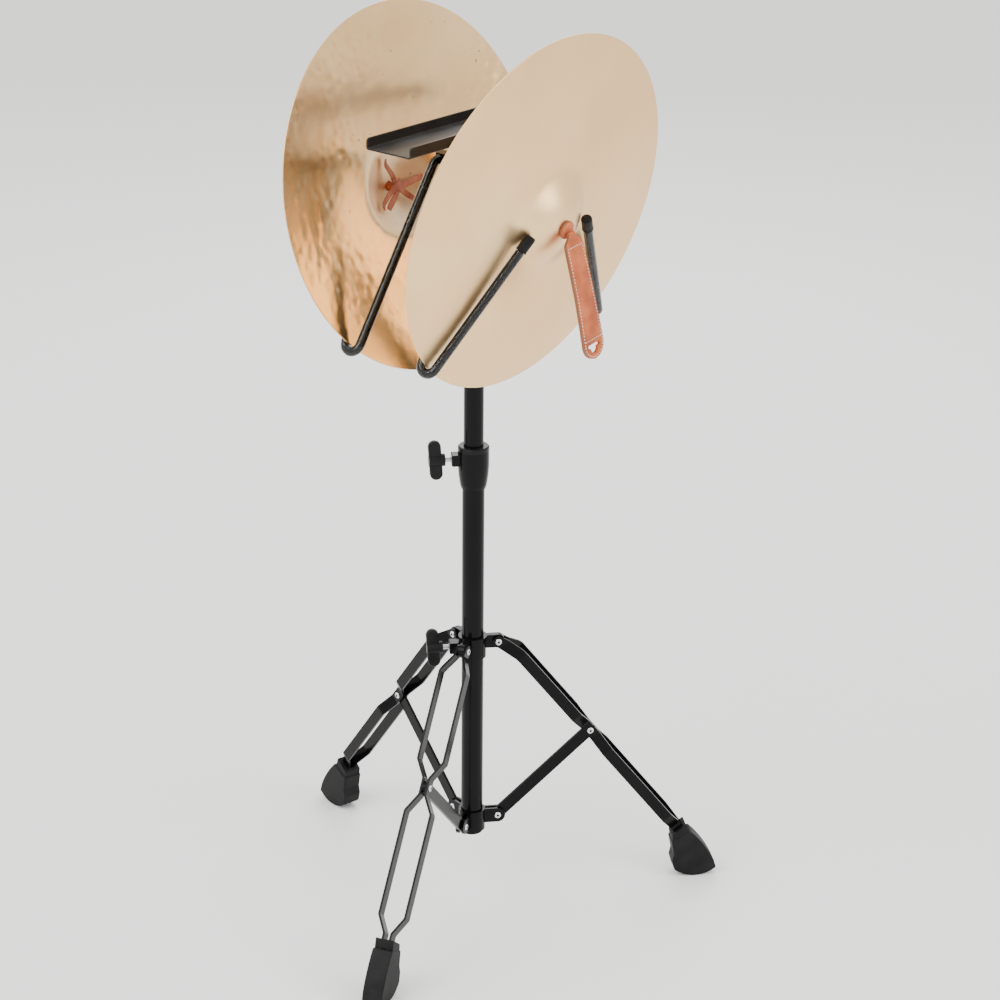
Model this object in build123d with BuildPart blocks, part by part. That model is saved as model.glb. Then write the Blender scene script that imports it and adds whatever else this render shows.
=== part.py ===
from build123d import *
from math import cos, radians, sin, tan
import os

# A pair of orchestral hand cymbals standing in a cradle on a folding tripod stand.
# Millimetres, +Z up. The origin is on the floor, on the pole's axis. The two cymbals
# face each other along X, and the cradle's tray runs along Y.

os.makedirs("parts", exist_ok=True)


def save(piece, name):
    """Label one finished piece and write its STEP file."""
    piece.label = name
    export_step(piece, f"parts/{name}.step")


# ---------------------------------------------------------------- driving dimensions
# Pole
lower_tube_r = 14.3
lower_tube_wall = 1.2
lower_tube_bottom = 88
lower_tube_top = 600
upper_tube_r = 12.7
upper_tube_wall = 1.5
upper_tube_bottom = 330
upper_tube_top = 1035.7
run_gap = 0.05
body_gap = 0.3

# Height clamp and its nylon bush
clamp_bottom = 577
clamp_top = 628
clamp_r = 20
bush_r = 17
bush_flange_h = 6
bush_chamfer = 1.6
screw_r = 3
wing_azimuth = 228.7
height_screw_z = 616
collar_screw_z = 356

# Tripod, in the plane of one leg: r is the distance from the pole's axis
leg_azimuths = (48.7, 168.7, 288.7)
top_pivot = (33, 362)
knee_pivot = (157, 225)
low_pivot = (34, 108)
leg_slope = 51.5
flat_w = 15
flat_t = 3
brace_w = 16
brace_t = 4
ear_half = 4
rivet_r = 3
rivet_head_r = 4.2
rivet_head_t = 1.6
rivet_taper = 25
collar_r = 17.5
bow_half = 17.5
foot_half = 13.5

# Cradle
rod_r = 4
sleeve_r = 6
arm_x = 50
arm_lean = 34.2
outer_lean = 18
hook_r = 11.5
hook_bottom = (arm_x + hook_r, 160.2, 785.9)
bar_z = 997.5
rod_bend_r = 12
outer_arm_length = 188
cap_length = 22
cap_cover = 16
cap_r = 7.2
cap_round = 2.5
rod_start = 0.2
sleeve_start = 8.5
tray_bottom = 1041
tray_half_x = 35
tray_half_y = 156
tray_lip = 14
lip_corner_r = 4.5
sheet = 2

# Cymbals
cymbal_r = 228.6
cymbal_t = 1.3
cymbal_tilt = 12.33
cymbal_x = 97.7
cymbal_z = 953.9
bell_r = 60
bow_h = 21
bell_h = 24.5
bell_top = bow_h + bell_h
bow_middle = (146, 12.6)
bell_middle = (34, 37.6)
cymbal_hole_r = 6.5

# Hand straps
washer_r = 11.5
washer_t = 3.5
strap_t = 7
strap_length = 160
neck_w = 5.5
neck_at = -6
shoulder_w = 16
shoulder_at = -14
waist_w = 17
waist_at = -80
end_w = 19
end_at = end_w - strap_length
slot_place = 146
slot_w = 22
slot_h = 5
keyhole_r = 7
strap_gap = 0.4
strap_hang = (0.1686, 0.1128, -0.979)

# ---------------------------------------------------------------- pole
with BuildPart() as lower_tube:
    with BuildSketch(Plane.XY.offset(lower_tube_bottom)):
        Circle(lower_tube_r)
        Circle(lower_tube_r - lower_tube_wall, mode=Mode.SUBTRACT)
    extrude(amount=lower_tube_top - lower_tube_bottom)
save(lower_tube.part, "lower_tube")

# Plastic plug that closes the bottom of the lower tube
plug_flange = 3
plug_depth = 14
plug_wall = 2.4
plug_round = 1.5
with BuildPart() as tube_end_plug:
    with BuildSketch(Plane.XY.offset(lower_tube_bottom - plug_flange)):
        Circle(lower_tube_r)
    extrude(amount=plug_flange)
    with BuildSketch(Plane.XY.offset(lower_tube_bottom)):
        Circle(lower_tube_r - lower_tube_wall)
        Circle(lower_tube_r - lower_tube_wall - plug_wall, mode=Mode.SUBTRACT)
    extrude(amount=plug_depth)
    fillet(tube_end_plug.edges().group_by(Axis.Z)[0], plug_round)
save(tube_end_plug.part, "tube_end_plug")

with BuildPart() as upper_tube:
    with BuildSketch(Plane.XY.offset(upper_tube_bottom)):
        Circle(upper_tube_r)
        Circle(upper_tube_r - upper_tube_wall, mode=Mode.SUBTRACT)
    extrude(amount=upper_tube_top - upper_tube_bottom)
save(upper_tube.part, "upper_tube")

# Nylon glide on the bottom end of the upper tube, running inside the lower tube
glide_r = lower_tube_r - lower_tube_wall - run_gap
glide_lip = 6
glide_neck = 18
glide_bore_r = 8
glide_lead = 0.8
with BuildPart() as tube_glide:
    with BuildSketch(Plane.XY.offset(upper_tube_bottom - glide_lip)):
        Circle(glide_r)
        Circle(glide_bore_r, mode=Mode.SUBTRACT)
    extrude(amount=glide_lip)
    with BuildSketch(Plane.XY.offset(upper_tube_bottom)):
        Circle(upper_tube_r - upper_tube_wall)
        Circle(glide_bore_r, mode=Mode.SUBTRACT)
    extrude(amount=glide_neck)
    chamfer(tube_glide.edges().group_by(Axis.Z)[0], glide_lead)
save(tube_glide.part, "tube_glide")

# ---------------------------------------------------------------- height clamp
wing_plane = Plane.XZ.rotated((0, 0, wing_azimuth))
boss_plane = Plane(
    origin=(0, 0, 0),
    x_dir=(-sin(radians(wing_azimuth)), cos(radians(wing_azimuth)), 0),
    z_dir=(cos(radians(wing_azimuth)), sin(radians(wing_azimuth)), 0),
)
outward = Axis((0, 0, 0), boss_plane.z_dir)
clamp_boss_r = 28.5
boss_w = 15
boss_round = 1.4
waist_r = 17.2
belly_r = 18.9

with BuildPart() as height_clamp:
    with BuildSketch(Plane.XZ):
        with BuildLine():
            Polyline(
                (lower_tube_r, clamp_bottom),
                (lower_tube_r + 1.5, clamp_bottom),
                (waist_r, clamp_bottom + 5),
            )
            ThreePointArc(
                (waist_r, clamp_bottom + 5),
                (belly_r, clamp_bottom + 17),
                (clamp_r, clamp_bottom + 32),
            )
            Polyline(
                (clamp_r, clamp_bottom + 32),
                (clamp_r, clamp_top),
                (bush_r, clamp_top),
                (bush_r, lower_tube_top),
                (lower_tube_r, lower_tube_top),
                (lower_tube_r, clamp_bottom),
            )
        make_face()
    revolve(axis=Axis.Z)
    with BuildSketch(boss_plane.offset(bush_r + 1)):
        with Locations((0, height_screw_z)):
            Rectangle(boss_w, boss_w)
    extrude(amount=clamp_boss_r - bush_r - 1)
    fillet(height_clamp.faces().sort_by(outward)[-1].edges(), boss_round)
    with BuildSketch(boss_plane):
        with Locations((0, height_screw_z)):
            Circle(screw_r + run_gap)
    extrude(amount=clamp_boss_r, mode=Mode.SUBTRACT)
save(height_clamp.part, "height_clamp")

with BuildPart() as clamp_bush:
    with BuildSketch(Plane.XY.offset(lower_tube_top)):
        Circle(bush_r)
    extrude(amount=clamp_top - lower_tube_top)
    with BuildSketch(Plane.XY.offset(clamp_top)):
        Circle(clamp_r)
    extrude(amount=bush_flange_h)
    chamfer(clamp_bush.edges().group_by(Axis.Z)[-1], bush_chamfer)
    with BuildSketch(Plane.XY.offset(lower_tube_top)):
        Circle(upper_tube_r + run_gap)
    extrude(amount=clamp_top - lower_tube_top + bush_flange_h, mode=Mode.SUBTRACT)
    with BuildSketch(boss_plane):
        with Locations((0, height_screw_z)):
            Circle(screw_r + body_gap)
    extrude(amount=clamp_boss_r, mode=Mode.SUBTRACT)
save(clamp_bush.part, "clamp_bush")

# ---------------------------------------------------------------- wing screws
# Each is a steel screw moulded into a black wing knob. In the knob's section x runs
# across the pole's radius and y up; the screw's axis is the boss plane's normal.
height_knob_at = 48.8
collar_knob_at = 51.8
lobe_r = 8.2
lobe_reach = 18
lobe_lean = 4
lobe_round = 2.8
hub_r = 8
hub_start = lobe_r + 4
knob_t = 9
screw_bite = 2
screw_lead = 0.6


def wing_knob(centre_r, height, name):
    """A two-lobed knob on a hub. centre_r is the radius of the lobes' middle."""
    with BuildPart() as knob:
        with BuildSketch(wing_plane):
            with Locations((centre_r, height)):
                SlotCenterToCenter(2 * lobe_reach, 2 * lobe_r, rotation=90 - lobe_lean)
        extrude(amount=knob_t / 2, both=True)
        fillet(knob.faces().filter_by(GeomType.PLANE).group_by(SortBy.AREA)[-1].edges(), lobe_round)
        with BuildSketch(boss_plane.offset(centre_r - hub_start)):
            with Locations((0, height)):
                Circle(hub_r)
        extrude(amount=hub_start + lobe_r)
        with BuildSketch(boss_plane.offset(centre_r - hub_start)):
            with Locations((0, height)):
                Circle(screw_r)
        extrude(amount=hub_start + screw_bite, mode=Mode.SUBTRACT)
    save(knob.part, name)


def wing_screw(start_r, centre_r, height, name):
    """The plain shank of the screw, from its end near the tube out into the knob."""
    with BuildPart() as screw:
        with BuildSketch(boss_plane.offset(start_r)):
            with Locations((0, height)):
                Circle(screw_r)
        extrude(amount=centre_r + screw_bite - start_r)
        chamfer(screw.edges().filter_by(GeomType.CIRCLE).sort_by(outward)[0], screw_lead)
    save(screw.part, name)


wing_knob(height_knob_at, height_screw_z, "height_wing_knob")
wing_screw(upper_tube_r + body_gap, height_knob_at, height_screw_z, "height_screw")
wing_knob(collar_knob_at, collar_screw_z, "collar_wing_knob")
wing_screw(lower_tube_r + body_gap, collar_knob_at, collar_screw_z, "collar_screw")

# ---------------------------------------------------------------- tripod collars
ear_r = 9
upper_collar_bottom = 342
upper_collar_top = 371
collar_lip_t = 4
collar_lip_w = 1.2
collar_boss_r = 31

with BuildPart() as upper_collar:
    with BuildSketch(Plane.XY.offset(upper_collar_bottom)):
        Circle(collar_r)
    extrude(amount=upper_collar_top - upper_collar_bottom)
    with BuildSketch(Plane.XY.offset(upper_collar_top - collar_lip_t)):
        Circle(collar_r + collar_lip_w)
    extrude(amount=collar_lip_t)
    for azimuth in leg_azimuths:
        with BuildSketch(Plane.XZ.rotated((0, 0, azimuth))):
            with Locations(top_pivot):
                Circle(ear_r)
            with Locations(top_pivot):
                Rectangle(top_pivot[0] - ear_r, 2 * ear_r, align=(Align.MAX, Align.CENTER))
        extrude(amount=ear_half, both=True)
        with BuildSketch(Plane.XZ.rotated((0, 0, azimuth))):
            with Locations(top_pivot):
                Circle(rivet_r + run_gap)
        extrude(amount=2 * ear_half, both=True, mode=Mode.SUBTRACT)
    with BuildSketch(boss_plane.offset(lower_tube_r + 1)):
        with Locations((0, collar_screw_z)):
            Rectangle(boss_w, boss_w)
    extrude(amount=collar_boss_r - lower_tube_r - 1)
    fillet(upper_collar.faces().sort_by(outward)[-1].edges(), boss_round)
    with BuildSketch(boss_plane):
        with Locations((0, collar_screw_z)):
            Circle(screw_r + run_gap)
    extrude(amount=collar_boss_r, mode=Mode.SUBTRACT)
    with BuildSketch(Plane.XY.offset(upper_collar_bottom)):
        Circle(lower_tube_r + run_gap)
    extrude(amount=upper_collar_top - upper_collar_bottom, mode=Mode.SUBTRACT)
save(upper_collar.part, "upper_collar")

lower_collar_bottom = 90
lower_collar_top = 119
cheek_t = 3
cheek_r = 10
cheek_gap = brace_t + 1.2

with BuildPart() as lower_collar:
    with BuildSketch(Plane.XY.offset(lower_collar_bottom)):
        Circle(collar_r)
    extrude(amount=lower_collar_top - lower_collar_bottom)
    for azimuth in leg_azimuths:
        with BuildSketch(Plane.XZ.rotated((0, 0, azimuth))):
            with Locations(low_pivot):
                Circle(cheek_r)
                Rectangle(low_pivot[0] - cheek_r, 2 * cheek_r, align=(Align.MAX, Align.CENTER))
        extrude(amount=cheek_gap / 2 + cheek_t, both=True)
    for azimuth in leg_azimuths:
        with BuildSketch(Plane.XZ.rotated((0, 0, azimuth))):
            with Locations((collar_r, low_pivot[1])):
                Rectangle(low_pivot[0], 4 * cheek_r, align=(Align.MIN, Align.CENTER))
        extrude(amount=cheek_gap / 2, both=True, mode=Mode.SUBTRACT)
        with BuildSketch(Plane.XZ.rotated((0, 0, azimuth))):
            with Locations(low_pivot):
                Circle(rivet_r)
        extrude(amount=cheek_gap / 2 + cheek_t, both=True, mode=Mode.SUBTRACT)
    with BuildSketch(Plane.XY.offset(lower_collar_bottom)):
        Circle(lower_tube_r)
    extrude(amount=lower_collar_top - lower_collar_bottom, mode=Mode.SUBTRACT)
save(lower_collar.part, "lower_collar")

# Rivets through the lower collar's cheeks, one per brace
with BuildPart() as lower_rivets:
    for azimuth in leg_azimuths:
        with BuildSketch(Plane.XZ.rotated((0, 0, azimuth))):
            with Locations(low_pivot):
                Circle(rivet_r)
        extrude(amount=cheek_gap / 2 + cheek_t, both=True)
        for side in (-1, 1):
            cheek_face = Plane.XZ.rotated((0, 0, azimuth)).offset(side * (cheek_gap / 2 + cheek_t))
            with BuildSketch(cheek_face):
                with Locations(low_pivot):
                    Circle(rivet_head_r)
            extrude(amount=side * rivet_head_t, taper=rivet_taper)
save(lower_rivets.part, "lower_rivets")

# ---------------------------------------------------------------- tripod legs
# A leg is two flat bars bowed apart so that they straddle the pole when folded. They
# are pinched together at the top pivot, at the knee and at the foot.
slope = radians(leg_slope)
along = (cos(slope), -sin(slope))
leg_plane = Plane(
    origin=(top_pivot[0], 0, top_pivot[1]),
    x_dir=(along[0], 0, along[1]),
    z_dir=(sin(slope), 0, cos(slope)),
)
bend_to_knee = 153.5
knee_to_foot = 198
socket_depth = 22
bend_point = (knee_pivot[0] - bend_to_knee * along[0], knee_pivot[1] - bend_to_knee * along[1])
foot_top = (knee_pivot[0] + knee_to_foot * along[0], knee_pivot[1] + knee_to_foot * along[1])
bar_end = (foot_top[0] + socket_depth * along[0], foot_top[1] + socket_depth * along[1])


def along_leg(point):
    """Distance of a point of the leg's plane from the top pivot, along the leg's slope."""
    return (point[0] - top_pivot[0]) * along[0] + (point[1] - top_pivot[1]) * along[1]


knee_at = along_leg(knee_pivot)
foot_at = along_leg(foot_top)
leg_height = (knee_pivot[0] - top_pivot[0]) * sin(slope) + (knee_pivot[1] - top_pivot[1]) * cos(slope)
pinch_top = ear_half + body_gap + flat_t / 2
pinch_knee = brace_t / 2 + 0.4 + flat_t / 2
pinch_foot = 5
bend_radius = 25


def leg_bar(side):
    """One flat bar of a leg at azimuth zero. side is +1 or -1 along Y."""
    with BuildPart() as bar:
        with BuildSketch(Plane.XZ):
            with BuildLine():
                FilletPolyline(top_pivot, bend_point, bar_end, radius=bend_radius)
            trace(line_width=flat_w)
            with Locations(top_pivot):
                Circle(flat_w / 2)
        extrude(amount=2 * bow_half, both=True)
        with BuildSketch(leg_plane):
            with BuildLine():
                FilletPolyline(
                    (-12, side * pinch_top),
                    (9, side * pinch_top),
                    (33, side * bow_half),
                    (knee_at - 34, side * bow_half),
                    (knee_at - 11, side * pinch_knee),
                    (knee_at + 11, side * pinch_knee),
                    (knee_at + 34, side * bow_half),
                    (foot_at - 30, side * bow_half),
                    (foot_at - 8, side * pinch_foot),
                    (foot_at + 30, side * pinch_foot),
                    radius=6,
                )
            trace(line_width=flat_t)
        extrude(amount=4 * flat_w, both=True, mode=Mode.INTERSECT)
        with BuildSketch(Plane.XZ):
            with Locations(top_pivot, knee_pivot):
                Circle(rivet_r)
        extrude(amount=2 * bow_half, both=True, mode=Mode.SUBTRACT)
    return bar.part


bars = {"left_bar": leg_bar(1), "right_bar": leg_bar(-1)}

# Rivets of one leg: the top one runs through the collar's ear, the knee's two short
# ones stop inside the bars, so that the brace's end is free between them
with BuildPart() as leg_rivets:
    head_at = pinch_top + flat_t / 2
    with BuildSketch(Plane.XZ):
        with Locations(top_pivot):
            Circle(rivet_r)
    extrude(amount=head_at, both=True)
    for side in (-1, 1):
        with BuildSketch(Plane.XZ.offset(side * head_at)):
            with Locations(top_pivot):
                Circle(rivet_head_r)
        extrude(amount=side * rivet_head_t, taper=rivet_taper)
        with BuildSketch(Plane.XZ.offset(side * (pinch_knee - flat_t / 2))):
            with Locations(knee_pivot):
                Circle(rivet_r)
        extrude(amount=side * flat_t)
        with BuildSketch(Plane.XZ.offset(side * (pinch_knee + flat_t / 2))):
            with Locations(knee_pivot):
                Circle(rivet_head_r)
        extrude(amount=side * rivet_head_t, taper=rivet_taper)

# Rubber foot: a curved sole, a heel, a neck with a step, and a socket for the bars
neck_dir = (sin(slope), cos(slope))
neck_half = 12
with BuildPart() as foot:
    with BuildSketch(Plane.XZ):
        with BuildLine():
            Polyline((275.5, 10.5), (272, 23), (274.2, 34), (270.4, 53.5), (297, 66.5))
            ThreePointArc((297, 66.5), (315.5, 45.5), (329.5, 22))
            Line((329.5, 22), (333, 10.5))
            ThreePointArc((333, 10.5), (304.25, 0), (275.5, 10.5))
        make_face()
    extrude(amount=foot_half, both=True)
    fillet(foot.edges().filter_by(Axis.Y), 2.2)
    fillet(foot.faces().filter_by(Axis.Y).edges(), 1.6)
    with BuildSketch(Plane.XZ):
        with BuildLine():
            Polyline(
                (foot_top[0] - neck_half * neck_dir[0], foot_top[1] - neck_half * neck_dir[1]),
                (foot_top[0] + neck_half * neck_dir[0], foot_top[1] + neck_half * neck_dir[1]),
                (294.5, 62),
                (272.6, 51),
                close=True,
            )
        make_face()
    extrude(amount=foot_half - 1.2, both=True)
    with BuildSketch(leg_plane.offset(leg_height)):
        with Locations((foot_at - 1, 0)):
            Rectangle(socket_depth + 1, 2 * pinch_foot + flat_t, align=(Align.MIN, Align.CENTER))
    extrude(amount=flat_w / 2, both=True, mode=Mode.SUBTRACT)

# Brace: one flat bar from the lower collar to between the leg's two bars
with BuildPart() as brace:
    with BuildSketch(Plane.XZ):
        with BuildLine():
            Line(low_pivot, knee_pivot)
        trace(line_width=brace_w)
        with Locations(low_pivot, knee_pivot):
            Circle(brace_w / 2)
    extrude(amount=brace_t / 2, both=True)
    with BuildSketch(Plane.XZ):
        with Locations(low_pivot):
            Circle(rivet_r + run_gap)
    extrude(amount=brace_t, both=True, mode=Mode.SUBTRACT)

for number, azimuth in enumerate(leg_azimuths, start=1):
    for side_name, bar in bars.items():
        save(bar.rotate(Axis.Z, azimuth), f"leg_{number}_{side_name}")
    save(leg_rivets.part.rotate(Axis.Z, azimuth), f"leg_{number}_rivets")
    save(foot.part.rotate(Axis.Z, azimuth), f"leg_{number}_foot")
    save(brace.part.rotate(Axis.Z, azimuth), f"brace_{number}")

# ---------------------------------------------------------------- cradle head
# A cast cross-head on the upper tube carries the four rods in sockets along Y
head_bottom = 984
head_top = 1011
head_r = 18
head_chamfer = 1.5
arm_half_w = 8
arm_half_h = 7
head_half_x = arm_x + 8
screw_head_r = 5
screw_head_t = 5
hex_r = 2.6
hex_depth = 3
with BuildPart() as cross_head:
    with BuildSketch(Plane.XY.offset(head_bottom)):
        Circle(head_r)
    extrude(amount=head_top - head_bottom)
    with BuildSketch(Plane.XY.offset(bar_z - arm_half_h)):
        RectangleRounded(2 * head_half_x, 2 * arm_half_w, 3)
    extrude(amount=2 * arm_half_h)
    chamfer(cross_head.edges().group_by(Axis.Z)[-1], head_chamfer)
    chamfer(cross_head.edges().group_by(Axis.Z)[0], head_chamfer)
    with BuildSketch(Plane.XZ):
        with Locations((arm_x, bar_z), (-arm_x, bar_z)):
            Circle(rod_r)
    extrude(amount=arm_half_w, both=True, mode=Mode.SUBTRACT)
    with BuildSketch(Plane.XY.offset(head_bottom)):
        Circle(upper_tube_r + run_gap)
    extrude(amount=head_top - head_bottom, mode=Mode.SUBTRACT)
    with BuildSketch(Plane.XZ):
        with Locations((0, bar_z)):
            Circle(screw_r)
    extrude(amount=head_r, mode=Mode.SUBTRACT)
save(cross_head.part, "cross_head")

# Socket screw that locks the cross-head on the upper tube
with BuildPart() as head_screw:
    with BuildSketch(Plane.XZ.offset(upper_tube_r + body_gap)):
        with Locations((0, bar_z)):
            Circle(screw_r)
    extrude(amount=head_r - upper_tube_r)
    with BuildSketch(Plane.XZ.offset(head_r)):
        with Locations((0, bar_z)):
            Circle(screw_head_r)
    extrude(amount=screw_head_t)
    with BuildSketch(Plane.XZ.offset(head_r + screw_head_t - hex_depth)):
        with Locations((0, bar_z)):
            RegularPolygon(hex_r, 6)
    extrude(amount=hex_depth, mode=Mode.SUBTRACT)
save(head_screw.part, "head_screw")

# Flange with a spigot that turns in the upper tube's top end and carries the tray
flange_t = 5
flange_r = 24
spigot_length = 22
tray_screw_places = ((0, 16), (0, -16))
tray_screw_r = 2
with BuildPart() as tray_flange:
    with BuildSketch(Plane.XY.offset(tray_bottom - flange_t)):
        Circle(flange_r)
    extrude(amount=flange_t)
    chamfer(tray_flange.edges().group_by(Axis.Z)[0], 1)
    with BuildSketch(Plane.XY.offset(tray_bottom - flange_t)):
        Circle(upper_tube_r - upper_tube_wall - run_gap)
    extrude(amount=-spigot_length)
    with BuildSketch(Plane.XY.offset(tray_bottom)):
        with Locations(*tray_screw_places):
            Circle(tray_screw_r)
    extrude(amount=-flange_t, mode=Mode.SUBTRACT)
save(tray_flange.part, "tray_flange")

# Sheet-metal tray: a channel with two long lips, open at both ends
with BuildPart() as tray:
    with BuildSketch(Plane.XZ):
        with BuildLine():
            FilletPolyline(
                (-tray_half_x + sheet / 2, tray_bottom + tray_lip),
                (-tray_half_x + sheet / 2, tray_bottom + sheet / 2),
                (tray_half_x - sheet / 2, tray_bottom + sheet / 2),
                (tray_half_x - sheet / 2, tray_bottom + tray_lip),
                radius=2,
            )
        trace(line_width=sheet)
    extrude(amount=tray_half_y, both=True)
    fillet(tray.edges().filter_by(Axis.X).group_by(Axis.Z)[-1], lip_corner_r)
    with BuildSketch(Plane.XY.offset(tray_bottom + sheet)):
        with Locations(*tray_screw_places):
            Circle(2 * tray_screw_r)
    extrude(amount=-sheet, taper=45, mode=Mode.SUBTRACT)
save(tray.part, "tray")

# Countersunk screws, flush with the tray's floor
with BuildPart() as tray_screws:
    with BuildSketch(Plane.XY.offset(tray_bottom + sheet)):
        with Locations(*tray_screw_places):
            Circle(2 * tray_screw_r)
    extrude(amount=-sheet, taper=45)
    with BuildSketch(Plane.XY.offset(tray_bottom)):
        with Locations(*tray_screw_places):
            Circle(tray_screw_r)
    extrude(amount=-flange_t)
save(tray_screws.part, "tray_screws")

# ---------------------------------------------------------------- cradle rods
# A rod lies in two planes. From its socket it runs along Y, bends down into the inner
# arm, and then the plane that holds X and the inner arm carries the hook and the outer
# arm. Sides are given as +1 or -1 along X and Y.
lean = radians(arm_lean)
open_angle = radians(outer_lean)


def rod_points(side_x, side_y):
    """Named points of one rod's axis, from the socket to the tip of the outer arm."""
    rise = Vector(0, -side_y * sin(lean), cos(lean))
    out = Vector(side_x, 0, 0)
    bottom = Vector(side_x * hook_bottom[0], side_y * hook_bottom[1], hook_bottom[2])
    centre = bottom + rise * hook_r
    inner = centre - out * hook_r
    middle = centre - rise * (hook_r * cos(open_angle / 2)) - out * (hook_r * sin(open_angle / 2))
    outer = centre + out * (hook_r * cos(open_angle)) - rise * (hook_r * sin(open_angle))
    outer_dir = out * sin(open_angle) + rise * cos(open_angle)
    tip = outer + outer_dir * outer_arm_length
    corner = inner + rise * ((bar_z - inner.Z) / cos(lean))
    return centre, inner, middle, outer, outer_dir, tip, corner


def rod_path(side_x, side_y, arm_length, start_y):
    """The rod's axis as one wire, with the outer arm cut to arm_length."""
    centre, inner, middle, outer, outer_dir, tip, corner = rod_points(side_x, side_y)
    rise = (corner - inner).normalized()
    turn = radians(90) - lean
    set_back = rod_bend_r * tan(turn / 2)
    bend_start = corner - rise * set_back
    bend_end = corner + Vector(0, -side_y * set_back, 0)
    bend_centre = bend_end + Vector(0, 0, -rod_bend_r)
    bend_middle = bend_centre + (corner - bend_centre).normalized() * rod_bend_r
    arm_end = outer + outer_dir * arm_length
    with BuildLine() as path:
        Line((corner.X, side_y * start_y, bar_z), bend_end)
        ThreePointArc(bend_end, bend_middle, bend_start)
        Line(bend_start, inner)
        ThreePointArc(inner, middle, outer)
        Line(outer, arm_end)
    return path.line


def round_bar(path, radius, bore=0):
    """A round section carried along a path; a bore makes it a sleeve."""
    with BuildPart() as bar:
        with BuildSketch(Plane(origin=path @ 0, z_dir=path % 0)):
            Circle(radius)
            if bore:
                Circle(bore, mode=Mode.SUBTRACT)
        sweep(path=path)
    return bar.part


for face, side_x in (("front", 1), ("back", -1)):
    for hand, side_y in (("right", 1), ("left", -1)):
        rod = round_bar(rod_path(side_x, side_y, outer_arm_length, rod_start), rod_r)
        save(rod, f"rod_{face}_{hand}")
        sleeve_path = rod_path(side_x, side_y, outer_arm_length - cap_cover, sleeve_start)
        save(round_bar(sleeve_path, sleeve_r, rod_r), f"sleeve_{face}_{hand}")
        outer_dir, tip = rod_points(side_x, side_y)[4:6]
        with BuildPart() as rod_cap:
            with BuildSketch(Plane(origin=tip - outer_dir * cap_cover, z_dir=outer_dir)):
                Circle(cap_r)
            extrude(amount=cap_length)
            fillet(rod_cap.edges().sort_by(Axis(tip, outer_dir))[-1], cap_round)
            with BuildSketch(Plane(origin=tip - outer_dir * cap_cover, z_dir=outer_dir)):
                Circle(rod_r)
            extrude(amount=cap_cover, mode=Mode.SUBTRACT)
        save(rod_cap.part, f"rod_cap_{face}_{hand}")

# ---------------------------------------------------------------- cymbals
# Made flat, with the rim in the XY plane and the bell up, then stood in the hooks

def stand_up(piece, side):
    """Turn a piece from the cymbal's own frame into the cradle. side is +1 or -1 along X."""
    upright = piece.rotate(Axis.Y, 90 + cymbal_tilt)
    placed = upright.translate((cymbal_x, 0, cymbal_z))
    return placed if side > 0 else placed.rotate(Axis.Z, 180)


with BuildPart() as cymbal:
    with BuildSketch(Plane.XZ):
        with BuildLine():
            ThreePointArc((cymbal_r, 0), bow_middle, (bell_r, bow_h))
            ThreePointArc((bell_r, bow_h), bell_middle, (cymbal_hole_r, bell_top))
            Line((cymbal_hole_r, bell_top), (cymbal_hole_r, bell_top - cymbal_t))
            ThreePointArc(
                (cymbal_hole_r, bell_top - cymbal_t),
                (bell_middle[0] - cymbal_t / 2, bell_middle[1] - cymbal_t),
                (bell_r - cymbal_t / 2, bow_h - cymbal_t),
            )
            ThreePointArc(
                (bell_r - cymbal_t / 2, bow_h - cymbal_t),
                (bow_middle[0], bow_middle[1] - cymbal_t),
                (cymbal_r, -cymbal_t),
            )
            Line((cymbal_r, -cymbal_t), (cymbal_r, 0))
        make_face()
    revolve(axis=Axis.Z)

# Leather washer on the bell's outside, and the knot on its inside
washer_base = bell_top + body_gap
neck_r = 4
neck_length = 4
knot_r = 11
knot_t = 11
tail_length = 36
tail_w = 9
tail_t = 5
tail_turn = 38
with BuildPart() as washer:
    with BuildSketch(Plane.XY.offset(washer_base)):
        Circle(washer_r)
    extrude(amount=washer_t)
    fillet(washer.edges(), 1.2)
    with BuildSketch(Plane.XY.offset(washer_base)):
        Circle(neck_r)
    extrude(amount=-washer_t - neck_length)

knot_top = washer_base - washer_t - neck_length
with BuildPart() as knot:
    with BuildSketch(Plane.XY.offset(knot_top)):
        Circle(knot_r)
    extrude(amount=-knot_t, taper=12)
    with BuildSketch(Plane.XY.offset(knot_top - knot_t)):
        with PolarLocations(0, 4, start_angle=tail_turn):
            with Locations((tail_length / 2, 0)):
                Rectangle(tail_length, tail_w)
    extrude(amount=tail_t)

# Hand strap, with a neck, a padded grip, a rounded end and a keyhole slot. In its own
# frame it hangs along -Y from the neck's root, and Z is its outward face.
with BuildPart() as strap:
    with BuildSketch():
        with BuildLine():
            Polyline((neck_w, 0), (neck_w + 1, neck_at), (shoulder_w, shoulder_at))
            Spline(
                (shoulder_w, shoulder_at),
                (waist_w, waist_at),
                (end_w, end_at),
                tangents=((0, -1), (0, -1)),
            )
            ThreePointArc((end_w, end_at), (0, -strap_length), (-end_w, end_at))
            Spline(
                (-end_w, end_at),
                (-waist_w, waist_at),
                (-shoulder_w, shoulder_at),
                tangents=((0, 1), (0, 1)),
            )
            Polyline((-shoulder_w, shoulder_at), (-neck_w - 1, neck_at), (-neck_w, 0), (neck_w, 0))
        make_face()
        with Locations((0, -slot_place)):
            Rectangle(slot_w, slot_h, align=(Align.CENTER, Align.MIN), mode=Mode.SUBTRACT)
        with BuildLine():
            Line((-keyhole_r, -slot_place), (keyhole_r, -slot_place))
            ThreePointArc(
                (keyhole_r, -slot_place),
                (0, -slot_place - keyhole_r),
                (-keyhole_r, -slot_place),
            )
        make_face(mode=Mode.SUBTRACT)
    extrude(amount=strap_t / 2, both=True)

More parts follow.
